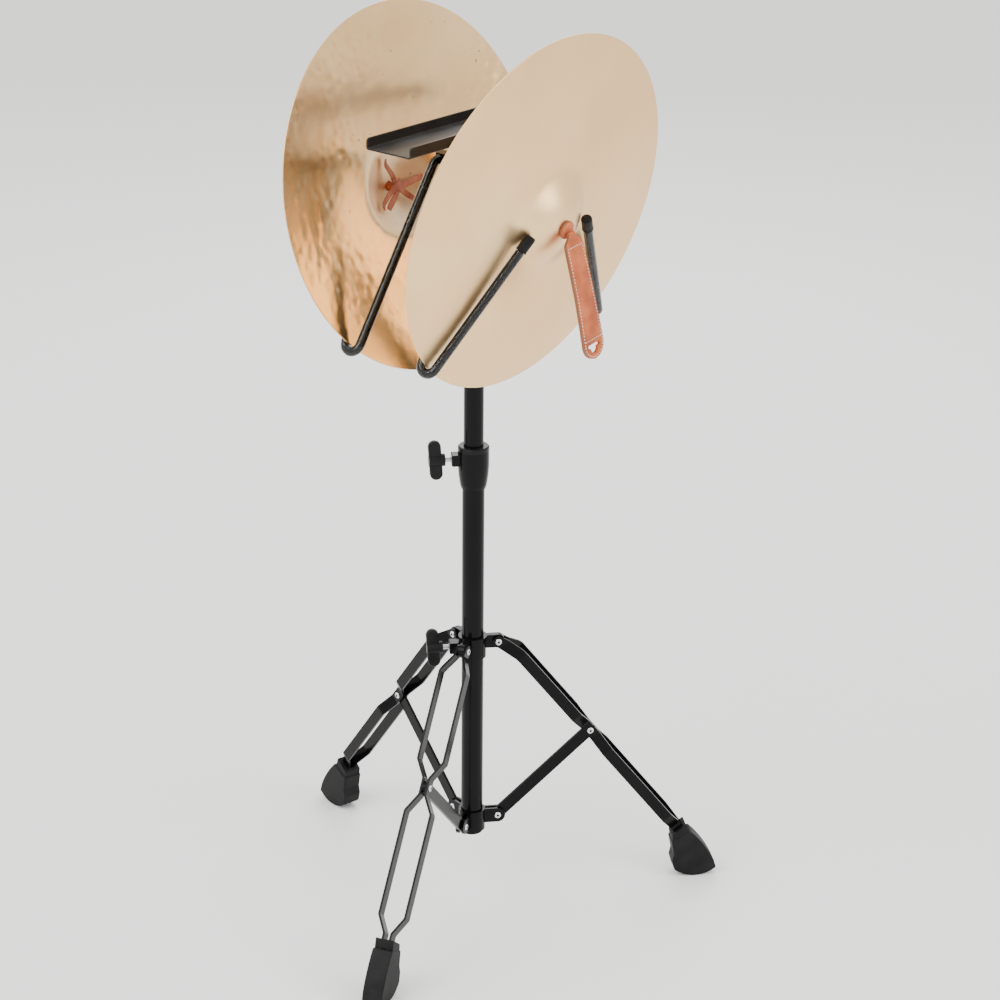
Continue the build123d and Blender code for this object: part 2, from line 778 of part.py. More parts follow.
strap_axis = Vector(*strap_hang).normalized()
cymbal_out = Vector(cos(radians(cymbal_tilt)), 0, -sin(radians(cymbal_tilt)))
root_height = washer_base + washer_t + strap_t / 2 + strap_gap
strap_start = Vector(cymbal_x, 0, cymbal_z) + cymbal_out * root_height
strap_across = (Vector(0, 1, 0) - strap_axis * strap_axis.Y).normalized()
strap_plane = Plane(origin=strap_start, x_dir=strap_across, z_dir=strap_across.cross(-strap_axis))
front_strap = strap_plane.from_local_coords(strap.part)

for face, side in (("front", 1), ("back", -1)):
    save(stand_up(cymbal.part, side), f"cymbal_{face}")
    save(stand_up(washer.part, side), f"strap_washer_{face}")
    save(stand_up(knot.part, side), f"strap_knot_{face}")
    placed_strap = front_strap if side > 0 else front_strap.rotate(Axis.Z, 180)
    save(placed_strap, f"hand_strap_{face}")
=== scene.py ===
from math import cos, pi, radians, sin, tan

import bpy
import numpy as np
from mathutils import Matrix, Vector


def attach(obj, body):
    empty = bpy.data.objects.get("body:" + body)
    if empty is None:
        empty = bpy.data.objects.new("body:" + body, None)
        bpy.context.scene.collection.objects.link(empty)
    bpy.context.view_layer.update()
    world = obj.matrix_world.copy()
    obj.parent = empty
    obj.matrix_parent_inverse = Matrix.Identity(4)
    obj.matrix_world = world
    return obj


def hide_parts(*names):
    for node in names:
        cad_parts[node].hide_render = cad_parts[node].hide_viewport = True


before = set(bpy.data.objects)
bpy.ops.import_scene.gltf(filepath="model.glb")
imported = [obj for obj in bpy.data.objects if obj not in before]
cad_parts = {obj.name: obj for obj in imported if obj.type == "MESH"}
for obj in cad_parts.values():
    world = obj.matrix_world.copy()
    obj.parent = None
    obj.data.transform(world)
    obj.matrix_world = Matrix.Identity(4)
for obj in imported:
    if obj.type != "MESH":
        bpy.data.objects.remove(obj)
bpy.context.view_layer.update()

# Camera
# It stands 3.3 m from the pole, between the front cymbal's side and the tray's left end,
# and looks down at the stand. turntable turns its heading about the pole.
turntable = 40.48
heading = radians(0.582)
downward = radians(21.965)
level = radians(0.5)
look = Vector((sin(heading) * cos(downward), cos(heading) * cos(downward), -sin(downward)))
look = Matrix.Rotation(radians(turntable), 3, "Z") @ look
side = look.cross(Vector((0, 0, 1))).normalized()
above = side.cross(look)
camera_side = cos(level) * side + sin(level) * above
camera_above = cos(level) * above - sin(level) * side
camera_data = bpy.data.cameras.new("camera")
camera_data.sensor_width = 36
camera_data.lens = 101.45
camera_place = Matrix.Translation((2.1557, -2.5256, 1.8987))
camera = bpy.data.objects.new("camera", camera_data)
camera.matrix_world = camera_place @ Matrix((camera_side, camera_above, -look)).transposed().to_4x4()
bpy.context.scene.collection.objects.link(camera)
bpy.context.scene.camera = camera

# Studio
# A plain pale floor in bright, faintly warm air, and three large soft lamps: the main one
# above and to the left, a weaker one on the right, and one behind for the black paint.
floor_mesh = bpy.data.meshes.new("studio_floor")
floor_mesh.from_pydata([(-6, -6, 0), (6, -6, 0), (6, 6, 0), (-6, 6, 0)], [], [(0, 1, 2, 3)])
floor = bpy.data.objects.new("studio_floor", floor_mesh)
bpy.context.scene.collection.objects.link(floor)
floor_paint = bpy.data.materials.new("studio_floor_paint")
floor_paint.use_nodes = True
floor_shader = floor_paint.node_tree.nodes["Principled BSDF"]
floor_shader.inputs["Base Color"].default_value = (0.93, 0.93, 0.93, 1)
floor_shader.inputs["Roughness"].default_value = 0.9
floor_mesh.materials.append(floor_paint)

world = bpy.data.worlds.new("studio_air")
world.use_nodes = True
air = world.node_tree.nodes["Background"]
air.inputs["Color"].default_value = (1.0, 0.985, 0.96, 1)
air.inputs["Strength"].default_value = 1.5
bpy.context.scene.world = world


def soft_lamp(name, place, target, size, power):
    """A square area lamp at place, turned to face target."""
    lamp_data = bpy.data.lights.new(name, "AREA")
    lamp_data.size = size
    lamp_data.energy = power
    lamp = bpy.data.objects.new(name, lamp_data)
    lamp.location = place
    lamp.rotation_euler = (Vector(target) - Vector(place)).to_track_quat("-Z", "Y").to_euler()
    bpy.context.scene.collection.objects.link(lamp)


soft_lamp("main_lamp", (-0.6, -2.6, 3.0), (0, 0, 0.7), 2.6, 85)
soft_lamp("side_lamp", (3.2, 0.6, 2.0), (0, 0, 0.8), 1.8, 45)
soft_lamp("back_lamp", (-1.8, 2.4, 2.6), (0, 0, 0.8), 1.8, 50)


# Stand paint
# All the steel of the stand, from the tubes to the tray, is gloss black powder coat
# with a faint orange peel and a little settled dust.
def node_group(name, inputs, outputs):
    """An empty shader node group with float or colour sockets, given as (name, type, value)."""
    group = bpy.data.node_groups.new(name, "ShaderNodeTree")
    for label, kind, value in inputs:
        socket = group.interface.new_socket(name=label, in_out="INPUT", socket_type=kind)
        socket.default_value = value
    for label, kind in outputs:
        group.interface.new_socket(name=label, in_out="OUTPUT", socket_type=kind)
    return group, group.nodes.new("NodeGroupInput"), group.nodes.new("NodeGroupOutput")


def math_node(tree, operation, first, second=None, clamp=False):
    """A Math node with each input a value or a socket. Returns its output socket."""
    node = tree.nodes.new("ShaderNodeMath")
    node.operation = operation
    node.use_clamp = clamp
    for slot_number, given in enumerate((first, second)):
        if isinstance(given, bpy.types.NodeSocket):
            tree.links.new(given, node.inputs[slot_number])
        elif given is not None:
            node.inputs[slot_number].default_value = given
    return node.outputs[0]


def noise_node(tree, vector, scale, detail):
    """Noise over Object coordinates; scale is a value or a socket. Returns its value."""
    node = tree.nodes.new("ShaderNodeTexNoise")
    tree.links.new(vector, node.inputs["Vector"])
    node.inputs["Detail"].default_value = detail
    if isinstance(scale, bpy.types.NodeSocket):
        tree.links.new(scale, node.inputs["Scale"])
    else:
        node.inputs["Scale"].default_value = scale
    return node.outputs["Fac"]


# Moulded or painted surfaces share this: mottle is broad and soft, grain is fine.
surface_group, group_in, group_out = node_group(
    "surface_detail",
    [("Mottle Scale", "NodeSocketFloat", 20.0), ("Grain Scale", "NodeSocketFloat", 900.0)],
    [("Mottle", "NodeSocketFloat"), ("Grain", "NodeSocketFloat"), ("Dust", "NodeSocketFloat")],
)
group_place = surface_group.nodes.new("ShaderNodeTexCoord")
group_shape = surface_group.nodes.new("ShaderNodeNewGeometry")
mottle = noise_node(surface_group, group_place.outputs["Object"], group_in.outputs["Mottle Scale"], 3)
grain = noise_node(surface_group, group_place.outputs["Object"], group_in.outputs["Grain Scale"], 2)
facing = surface_group.nodes.new("ShaderNodeSeparateXYZ")
surface_group.links.new(group_shape.outputs["Normal"], facing.inputs[0])
upward = math_node(surface_group, "MULTIPLY", facing.outputs["Z"], 1.0, clamp=True)
dusty = math_node(surface_group, "MULTIPLY", upward, mottle)
surface_group.links.new(mottle, group_out.inputs["Mottle"])
surface_group.links.new(grain, group_out.inputs["Grain"])
surface_group.links.new(dusty, group_out.inputs["Dust"])


def ramp_node(tree, value, stops):
    """A colour ramp over value; stops are (position, colour). Returns its colour."""
    node = tree.nodes.new("ShaderNodeValToRGB")
    while len(node.color_ramp.elements) < len(stops):
        node.color_ramp.elements.new(0.5)
    for element, (position, colour) in zip(node.color_ramp.elements, stops):
        element.position = position
        element.color = (*colour, 1)
    tree.links.new(value, node.inputs["Fac"])
    return node.outputs["Color"]


def range_node(tree, value, low, high):
    """value from 0..1 spread to low..high. Returns the result."""
    node = tree.nodes.new("ShaderNodeMapRange")
    tree.links.new(value, node.inputs["Value"])
    node.inputs["To Min"].default_value = low
    node.inputs["To Max"].default_value = high
    return node.outputs["Result"]


def bump_node(tree, height, strength, distance):
    """A Bump node fed by height. Returns its normal."""
    node = tree.nodes.new("ShaderNodeBump")
    node.inputs["Strength"].default_value = strength
    node.inputs["Distance"].default_value = distance
    tree.links.new(height, node.inputs["Height"])
    return node.outputs["Normal"]


def mix_node(tree, factor, first, second):
    """Colour mixed from first to second by factor; second is a colour or a socket."""
    node = tree.nodes.new("ShaderNodeMix")
    node.data_type = "RGBA"
    tree.links.new(factor, node.inputs["Factor"])
    tree.links.new(first, node.inputs["A"])
    if isinstance(second, bpy.types.NodeSocket):
        tree.links.new(second, node.inputs["B"])
    else:
        node.inputs["B"].default_value = (*second, 1)
    return node.outputs["Result"]


def surface_node(tree, mottle_scale, grain_scale, roughness, bump):
    """surface_detail placed in a material, with roughness as (low, high) over its mottle
    and bump as (strength, distance) over its grain. Returns the node."""
    node = tree.nodes.new("ShaderNodeGroup")
    node.node_tree = surface_group
    node.inputs["Mottle Scale"].default_value = mottle_scale
    node.inputs["Grain Scale"].default_value = grain_scale
    shader = tree.nodes["Principled BSDF"]
    tree.links.new(range_node(tree, node.outputs["Mottle"], *roughness), shader.inputs["Roughness"])
    tree.links.new(bump_node(tree, node.outputs["Grain"], *bump), shader.inputs["Normal"])
    return node


def surface_material(name, dark, pale, roughness, mottle_scale, grain_scale, bump, dust=0.0, gloss=0.5):
    """A material from surface_node: colour from dark to pale with the mottle, dust that
    greys what faces up, and gloss as the strength of its highlights."""
    material = bpy.data.materials.new(name)
    material.use_nodes = True
    tree = material.node_tree
    shader = tree.nodes["Principled BSDF"]
    detail = surface_node(tree, mottle_scale, grain_scale, roughness, bump)
    colour = ramp_node(tree, detail.outputs["Mottle"], [(0.3, dark), (0.7, pale)])
    if dust:
        settled = math_node(tree, "MULTIPLY", detail.outputs["Dust"], dust)
        colour = mix_node(tree, settled, colour, (0.42, 0.42, 0.40))
    tree.links.new(colour, shader.inputs["Base Color"])
    shader.inputs["Specular IOR Level"].default_value = gloss
    return material


black_paint = surface_material(
    "black_powder_coat",
    dark=(0.0018, 0.0018, 0.002),
    pale=(0.0034, 0.0034, 0.0038),
    roughness=(0.12, 0.22),
    mottle_scale=14,
    grain_scale=420,
    bump=(0.06, 0.0004),
    dust=0.006,
    gloss=0.11,
)


def finish_nodes(material, *names):
    """Give CAD nodes one material in every slot."""
    for name in names:
        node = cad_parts[name]
        node.data.materials.clear()
        node.data.materials.append(material)


leg_bars = [f"leg_{number}_{hand}_bar" for number in (1, 2, 3) for hand in ("left", "right")]
finish_nodes(black_paint, "lower_tube", "upper_tube", "height_clamp", "upper_collar", "lower_collar")
finish_nodes(black_paint, "brace_1", "brace_2", "brace_3", "cross_head", "tray_flange", *leg_bars)

# Tray
# Folded from 2 mm sheet and coated like the stand, but duller and greyer, with more dust
# on its floor.
tray_paint = surface_material(
    "tray_powder_coat",
    dark=(0.010, 0.010, 0.0105),
    pale=(0.026, 0.025, 0.025),
    roughness=(0.24, 0.40),
    mottle_scale=22,
    grain_scale=500,
    bump=(0.12, 0.0004),
    dust=0.06,
    gloss=0.22,
)
finish_nodes(tray_paint, "tray")

# Plastic and rubber
# Wing knobs, tube plug, bush and glide are moulded plastic, feet are moulded rubber with
# a matt, faintly grained skin.
knob_plastic = surface_material(
    "moulded_knob_plastic",
    dark=(0.003, 0.003, 0.0033),
    pale=(0.007, 0.007, 0.0075),
    roughness=(0.36, 0.52),
    mottle_scale=60,
    grain_scale=1600,
    bump=(0.25, 0.0003),
    dust=0.01,
    gloss=0.15,
)
finish_nodes(knob_plastic, "height_wing_knob", "collar_wing_knob", "tube_end_plug")
nylon = surface_material(
    "black_nylon",
    dark=(0.003, 0.003, 0.0033),
    pale=(0.006, 0.006, 0.0065),
    roughness=(0.24, 0.36),
    mottle_scale=40,
    grain_scale=900,
    bump=(0.12, 0.0003),
    dust=0.01,
    gloss=0.15,
)
finish_nodes(nylon, "clamp_bush", "tube_glide")
foot_rubber = surface_material(
    "moulded_foot_rubber",
    dark=(0.004, 0.004, 0.0044),
    pale=(0.010, 0.010, 0.0105),
    roughness=(0.46, 0.66),
    mottle_scale=45,
    grain_scale=1300,
    bump=(0.35, 0.0004),
    dust=0.02,
    gloss=0.14,
)
finish_nodes(foot_rubber, "leg_1_foot", "leg_2_foot", "leg_3_foot")

# Screws
# Zinc-plated steel, grey with a soft turned sheen.
screw_steel = surface_material(
    "zinc_plated_steel",
    dark=(0.40, 0.40, 0.42),
    pale=(0.58, 0.58, 0.60),
    roughness=(0.28, 0.42),
    mottle_scale=120,
    grain_scale=2200,
    bump=(0.20, 0.0002),
)
screw_steel.node_tree.nodes["Principled BSDF"].inputs["Metallic"].default_value = 1
finish_nodes(screw_steel, "height_screw", "collar_screw", "head_screw", "tray_screws")


# Rivets
# Semi-tubular steel rivets, bright plated. The head is a low dome with a hollow middle,
# and the shank fills the hole in the bars. The hollow's shade is painted in as near-black.
def make_piece(name, points, body, material, loop=False, sharp=0.7, attributes=None):
    """A closed surface from a grid of points, rows by columns. Columns always join up.
    With loop the rows join up too; without it each end is closed by a fan to its middle.
    attributes maps a name to one value for each point of the grid."""
    rows, columns = points.shape[:2]
    corners = points.reshape(-1, 3)
    row = np.arange(rows if loop else rows - 1)[:, None]
    column = np.arange(columns)[None, :]
    after = (row + 1) % rows
    beside = (column + 1) % columns
    start, end = row * columns, after * columns
    quads = np.stack([start + column, start + beside, end + beside, end + column], -1).reshape(-1, 4)
    faces = quads.tolist()
    triangles = np.concatenate([quads[:, [0, 1, 2]], quads[:, [0, 2, 3]]])
    if not loop:
        around = np.arange(columns)
        first, last = len(corners), len(corners) + 1
        corners = np.concatenate([corners, points[0].mean(0)[None], points[-1].mean(0)[None]])
        low = np.stack([np.full(columns, first), (around + 1) % columns, around], -1)
        top = np.stack([np.full(columns, last), around, (around + 1) % columns], -1)
        top[:, 1:] += (rows - 1) * columns
        faces += low.tolist() + top.tolist()
        triangles = np.concatenate([triangles, low, top])
    a, b, c = (corners[triangles[:, k]] for k in range(3))
    if np.einsum("ij,ij->i", a, np.cross(b, c)).sum() < 0:
        faces = [face[::-1] for face in faces]
    mesh = bpy.data.meshes.new(name)
    mesh.from_pydata(corners.tolist(), [], faces)
    mesh.polygons.foreach_set("use_smooth", np.ones(len(mesh.polygons), dtype=bool))
    mesh.set_sharp_from_angle(angle=sharp)
    for label, values in (attributes or {}).items():
        layer = mesh.attributes.new(label, "FLOAT", "POINT")
        spread = values.reshape(-1)
        if not loop:
            spread = np.concatenate([spread, [values[0].mean(), values[-1].mean()]])
        layer.data.foreach_set("value", spread.astype(np.float32))
    mesh.materials.append(material)
    piece = bpy.data.objects.new(name, mesh)
    bpy.context.scene.collection.objects.link(piece)
    if body:
        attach(piece, body)
    return piece


def lathe(profile, columns):
    """Points of a turned shape about Z: profile holds (radius, height) rows."""
    profile = np.asarray(profile, dtype=float)
    turn = np.linspace(0, 2 * pi, columns, endpoint=False)
    return np.stack(
        [
            profile[:, :1] * np.cos(turn)[None],
            profile[:, :1] * np.sin(turn)[None],
            np.repeat(profile[:, 1:], columns, 1),
        ],
        -1,
    )


def aim(points, origin, direction):
    """Carry points made about Z to origin, with Z along direction."""
    direction = np.asarray(direction, dtype=float)
    direction = direction / np.linalg.norm(direction)
    helper = np.array([0.0, 0, 1]) if abs(direction[2]) < 0.9 else np.array([1.0, 0, 0])
    across = np.cross(helper, direction)
    across /= np.linalg.norm(across)
    basis = np.stack([across, np.cross(direction, across), direction])
    return points @ basis + np.asarray(origin)


def attribute_node(tree, name):
    """The value that a piece holds in its own attribute of that name."""
    node = tree.nodes.new("ShaderNodeAttribute")
    node.attribute_name = name
    return node.outputs["Fac"]


rivet_metal = bpy.data.materials.new("bright_rivet")
rivet_metal.use_nodes = True
rivet_tree = rivet_metal.node_tree
rivet_shader = rivet_tree.nodes["Principled BSDF"]
rivet_shader.inputs["Metallic"].default_value = 1
surface_node(rivet_tree, 180, 2400, roughness=(0.10, 0.28), bump=(0.15, 0.0002))
rivet_hollow_shade = attribute_node(rivet_tree, "hollow")
# Near-black where the hollow mask is 1: painted shade inside the rivet's hollow, on bright plated metal.
rivet_shade_stops = [(0.2, (0.72, 0.72, 0.74)), (0.8, (0.03, 0.03, 0.03))]
rivet_tree.links.new(ramp_node(rivet_tree, rivet_hollow_shade, rivet_shade_stops), rivet_shader.inputs["Base Color"])


rivet_head_r = 0.0045
rivet_shank_r = 0.00296
rivet_lip_r = 0.0019
rivet_columns = 28


def rivet_points(inner, face):
    """One rivet about Z, shank from inner to face, head outside it. Its dome falls off as a
    quarter ellipse, and a straight-sided hollow goes into its middle. Returns points and
    the hollow's mask, which marks where painted shade darkens the colour."""
    bow = np.linspace(0, pi / 2, 9)
    dome_r = rivet_lip_r + (rivet_head_r - rivet_lip_r) * np.cos(bow)
    dome_z = face + 0.0003 + 0.0017 * np.sin(bow)
    shank = [rivet_shank_r, rivet_shank_r, rivet_head_r]
    radius = np.concatenate([shank, dome_r, [0.0016, 0.0015, 0.0004]])
    height = np.concatenate([[inner, face, face], dome_z, [face + 0.0018, face + 0.0005, face + 0.0004]])
    mask = np.zeros(len(radius))
    mask[-3:] = 1
    points = lathe(np.stack([radius, height], -1), rivet_columns)
    return points, np.repeat(mask[:, None], rivet_columns, 1)


leg_azimuths = (48.7, 168.7, 288.7)
top_pivot = (0.033, 0.362)
knee_pivot = (0.157, 0.225)
low_pivot = (0.034, 0.108)
top_face = 0.0073
knee_inner = 0.0025
knee_face = 0.0054
low_face = 0.0056


def rivet_set(name, azimuth, places, body, node):
    """Rivets through a leg's plane at azimuth: places holds (radius, height, inner, face)."""
    turn = radians(azimuth)
    across = np.array([-sin(turn), cos(turn), 0])
    for number, (radius, height, inner, face) in enumerate(places, start=1):
        for hand, sign in (("left", 1), ("right", -1)):
            points, mask = rivet_points(inner, face)
            placed = aim(points, (radius * cos(turn), radius * sin(turn), height), sign * across)
            rivet_name = f"{name}_{number}_{hand}"
            piece = make_piece(rivet_name, placed, body, rivet_metal, attributes={"hollow": mask})
            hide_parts(node)


for number, azimuth in enumerate(leg_azimuths, start=1):
    leg_places = [(*top_pivot, 0.0, top_face), (*knee_pivot, knee_inner, knee_face)]
    rivet_set(f"leg_rivet_{number}", azimuth, leg_places, f"leg_{number}", f"leg_{number}_rivets")
    low_places = [(*low_pivot, 0.0, low_face)]
    rivet_set(f"collar_rivet_{number}", azimuth, low_places, "stand_base", "lower_rivets")

# Rods
# Four lengths of 8 mm steel wire, coated black, each bent twice: into the inner arm and
# round the hook. A plane through X and the inner arm holds the hook and both arms.
rod_r = 0.004
arm_x = 0.050
arm_lean = radians(34.2)
outer_lean = radians(18)
hook_r = 0.0115
hook_bottom = (arm_x + hook_r, 0.1602, 0.7859)
bar_z = 0.9975
bend_r = 0.012
outer_arm = 0.188
rod_start = 0.0002


def arc_points(centre, start, toward, angle, count):
    """Points on a circle: centre + cos(t) * start + sin(t) * toward, t from 0 to angle."""
    t = np.linspace(0, angle, count)[:, None]
    return centre + np.cos(t) * start + np.sin(t) * toward


def rod_line(side_x, side_y, length, start_y):
    """The axis of one rod from start_y beside the pole's axis to the end of its outer arm,
    with even detail in its two bends. Returns it with the direction square to the plane of
    its hook, the outer arm's direction and its tip."""
    out = np.array([side_x, 0, 0], dtype=float)
    rise = np.array([0, -side_y * sin(arm_lean), cos(arm_lean)])
    inward = np.array([0, -side_y, 0], dtype=float)
    bottom = np.array([side_x * hook_bottom[0], side_y * hook_bottom[1], hook_bottom[2]])
    centre = bottom + rise * hook_r
    inner = centre - out * hook_r
    corner = inner + rise * ((bar_z - inner[2]) / cos(arm_lean))
    turn = pi / 2 - arm_lean
    set_back = bend_r * tan(turn / 2)
    bend_end = corner + inward * set_back
    bend_centre = bend_end - np.array([0, 0, bend_r])
    bend = arc_points(bend_centre, np.array([0, 0, bend_r]), -inward * bend_r, turn, 14)
    hook = arc_points(centre, -out * hook_r, -rise * hook_r, pi - outer_lean, 30)
    outer_dir = out * sin(outer_lean) + rise * cos(outer_lean)
    tip = hook[-1] + outer_dir * length
    start = np.array([corner[0], side_y * start_y, bar_z])
    runs = [
        np.linspace(start, bend[0], 12)[:-1],
        bend,
        np.linspace(bend[-1], inner, 26)[1:-1],
        hook,
        np.linspace(hook[-1], tip, 22)[1:],
    ]
    return np.concatenate(runs), np.cross(out, rise), outer_dir, tip


def round_bar(line, square, radii, columns):
    """A round section carried along line. square is a direction that never lies along it,
    and radii gives the radius at each point."""
    along = np.gradient(line, axis=0)
    along /= np.linalg.norm(along, axis=1, keepdims=True)
    first = square - along * (along @ square)[:, None]
    first /= np.linalg.norm(first, axis=1, keepdims=True)
    second = np.cross(along, first)
    turn = np.linspace(0, 2 * pi, columns, endpoint=False)
    ring = np.cos(turn)[None, :, None] * first[:, None] + np.sin(turn)[None, :, None] * second[:, None]
    return line[:, None] + ring * radii[:, None, None]


rod_coat = surface_material(
    "rod_black_coat",
    dark=(0.0018, 0.0018, 0.002),
    pale=(0.0036, 0.0036, 0.004),
    roughness=(0.16, 0.18),
    mottle_scale=30,
    grain_scale=600,
    bump=(0.02, 0.0001),
    gloss=0.10,
)

faces = (("front", 1), ("back", -1))
hands = (("right", 1), ("left", -1))
for face, side_x in faces:
    for hand, side_y in hands:
        rod_axis, square = rod_line(side_x, side_y, outer_arm, rod_start)[:2]
        rod_points = round_bar(rod_axis, square, np.full(len(rod_axis), rod_r), 24)
        rod = make_piece(f"cradle_rod_{face}_{hand}", rod_points, "cradle", rod_coat)
        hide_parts(f"rod_{face}_{hand}")

# Sleeves and caps
# Each rod wears a clear soft PVC tube so that the rim rests on plastic, and a black
# rubber cap covers the end of the outer arm. The tube is stretched on, so it grips the
# rod with no air between them.
sleeve_r = 0.006
sleeve_start = 0.0085
sleeve_gap = 0.0004
sleeve_grip = 0.00006
cap_cover = 0.016
cap_length = 0.022
cap_r = 0.0072
cap_corner = 0.003

clear_pvc = bpy.data.materials.new("clear_soft_pvc")
clear_pvc.use_nodes = True
pvc_shader = clear_pvc.node_tree.nodes["Principled BSDF"]
pvc_shader.inputs["Base Color"].default_value = (0.93, 0.95, 0.93, 1)
pvc_shader.inputs["Transmission Weight"].default_value = 1
pvc_shader.inputs["IOR"].default_value = 1.4
surface_node(clear_pvc.node_tree, 70, 300, roughness=(0.03, 0.045), bump=(0.02, 0.0001))

cap_rubber = surface_material(
    "cap_rubber",
    dark=(0.003, 0.003, 0.0033),
    pale=(0.008, 0.008, 0.0085),
    roughness=(0.38, 0.56),
    mottle_scale=80,
    grain_scale=1500,
    bump=(0.25, 0.0003),
    dust=0.01,
    gloss=0.15,
)

corner_turn = np.linspace(0, pi / 2, 8)
cap_side = cap_r - 0.0003 - cap_corner + cap_corner * np.cos(corner_turn)
cap_end = cap_length - cap_corner + cap_corner * np.sin(corner_turn)
cap_profile = np.concatenate(
    [
        [[rod_r + 0.0001, 0.0155], [rod_r + 0.0001, 0.0], [cap_r - 0.0006, 0.0]],
        [[cap_r, 0.0006], [cap_r, 0.0016], [cap_r - 0.0004, 0.0020], [cap_r - 0.0004, 0.006]],
        [[cap_r - 0.0003, 0.012], [cap_r - 0.0003, cap_length - cap_corner]],
        np.stack([cap_side, cap_end], -1)[1:],
    ]
)

for face, side_x in faces:
    for hand, side_y in hands:
        outer_dir, tip = rod_line(side_x, side_y, outer_arm, rod_start)[2:]
        sleeve_length = outer_arm - cap_cover - sleeve_gap
        sleeve_axis, square = rod_line(side_x, side_y, sleeve_length, sleeve_start)[:2]
        outside = round_bar(sleeve_axis, square, np.full(len(sleeve_axis), sleeve_r), 32)
        inside = round_bar(sleeve_axis, square, np.full(len(sleeve_axis), rod_r - sleeve_grip), 32)
        sleeve_points = np.concatenate([outside, inside[::-1]])
        sleeve = make_piece(f"clear_sleeve_{face}_{hand}", sleeve_points, "cradle", clear_pvc, loop=True)
        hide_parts(f"sleeve_{face}_{hand}")
        cap_points = aim(lathe(cap_profile, 32), tip - outer_dir * cap_cover, outer_dir)
        cap = make_piece(f"arm_cap_{face}_{hand}", cap_points, "cradle", cap_rubber)
        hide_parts(f"rod_cap_{face}_{hand}")

# Cymbals
# Cast bronze, hammered and turned on a lathe, then buffed. The outside is smooth with
# the finest of turning lines; inside, the hammer's dimples and the scale still show.
cymbal_r = 0.2286
cymbal_t = 0.0013
cymbal_tilt = radians(12.33)
cymbal_x = 0.0977
cymbal_z = 0.9539
bell_top = 0.0455
hole_r = 0.0065
crease_r = 0.060
crease = (crease_r, 0.021)
bell_shoulder = (0.034, 0.0376)
bow_middle = (0.146, 0.0126)
hammer_wave = 0.00006
ring_columns = 300


def circle_height(radius, first, middle, last):
    """Height above the rim at radius, on the circle through three (radius, height) points."""
    (x1, y1), (x2, y2), (x3, y3) = first, middle, last
    d = 2 * (x1 * (y2 - y3) + x2 * (y3 - y1) + x3 * (y1 - y2))
    s1, s2, s3 = x1 * x1 + y1 * y1, x2 * x2 + y2 * y2, x3 * x3 + y3 * y3
    cx = (s1 * (y2 - y3) + s2 * (y3 - y1) + s3 * (y1 - y2)) / d
    cy = (s1 * (x3 - x2) + s2 * (x1 - x3) + s3 * (x2 - x1)) / d
    reach = np.sqrt((x1 - cx) ** 2 + (y1 - cy) ** 2)
    return cy + np.sign(y2 - cy) * np.sqrt(np.maximum(reach**2 - (radius - cx) ** 2, 0))


def cymbal_height(radius):
    """The outside's height: the bell's arc inside the crease and the bow's arc outside it.
    From 30 to 110 mm it fades into its average under a bell curve that is 8 mm wide to
    each side, which rounds the crease."""
    offsets = np.linspace(-0.024, 0.024, 49)
    weights = np.exp(-((offsets / 0.008) ** 2) / 2)
    reached = np.clip(radius[:, None] + offsets[None], 0.0, cymbal_r)
    bell = circle_height(np.minimum(reached, crease_r), crease, bell_shoulder, (hole_r, bell_top))
    bow = circle_height(reached, (cymbal_r, 0), bow_middle, crease)
    exact = np.where(reached < crease_r, bell, bow)
    soft = (exact * weights).sum(1) / weights.sum()
    share = np.clip((radius - 0.030) / 0.015, 0, 1) * np.clip((0.110 - radius) / 0.020, 0, 1)
    return exact[:, len(offsets) // 2] * (1 - share) + soft * share


def stand_up(points, side):
    """Carry points from the cymbal's own frame, rim in XY and bell along Z, into the hooks.
    side is +1 for the front cymbal and -1 for the back one."""
    turn = pi / 2 + cymbal_tilt
    x = points[..., 0] * cos(turn) + points[..., 2] * sin(turn) + cymbal_x
    z = -points[..., 0] * sin(turn) + points[..., 2] * cos(turn) + cymbal_z
    return np.stack([side * x, side * points[..., 1], z], -1)


def cymbal_points(seed):
    """Outside from hole to rim, round the rim, and the inside back to the hole. Hammering
    is a sum of cosines along many directions, about 0.1 mm high. Returns points, the radius
    at each, and a mask that is 1 inside."""
    rng = np.random.default_rng(seed)
    bell_rings = np.linspace(hole_r, 0.048, 20)
    crease_rings = np.linspace(0.050, 0.072, 20)
    bow_rings = np.linspace(0.0745, cymbal_r - 0.001, 64)
    radius = np.concatenate([bell_rings, crease_rings, bow_rings])
    height = cymbal_height(radius)
    slope = np.gradient(height, radius)
    normal = np.stack([-slope, np.ones_like(slope)], -1) / np.sqrt(1 + slope**2)[:, None]
    outside = np.stack([radius, height], -1)
    inside = outside - normal * cymbal_t
    inside[:, 0] = np.maximum(inside[:, 0], hole_r)
    rim_turn = np.linspace(pi / 2, -pi / 2, 9)[1:-1]
    half_t = cymbal_t / 2
    rim = np.stack([cymbal_r - half_t + half_t * np.cos(rim_turn), -half_t + half_t * np.sin(rim_turn)], -1)
    profile = np.concatenate([outside, rim, inside[::-1]])
    points = lathe(profile, ring_columns)
    waves = rng.uniform(0, 2 * pi, (40, 2))
    lengths = rng.uniform(0.018, 0.05, 40)
    ripple = np.zeros(points.shape[:2])
    for (heading_angle, phase), length in zip(waves, lengths):
        travel = points[..., 0] * cos(heading_angle) + points[..., 1] * sin(heading_angle)
        ripple += np.cos(travel * 2 * pi / length + phase)
    fade = np.clip((np.linalg.norm(points[..., :2], axis=-1) - 0.02) / 0.04, 0, 1)
    points[..., 2] += ripple / len(waves) ** 0.5 * fade * hammer_wave
    mask = np.zeros(len(profile))
    mask[len(outside) + len(rim) // 2:] = 1
    return points, np.repeat(profile[:, :1], ring_columns, 1), np.repeat(mask[:, None], ring_columns, 1)


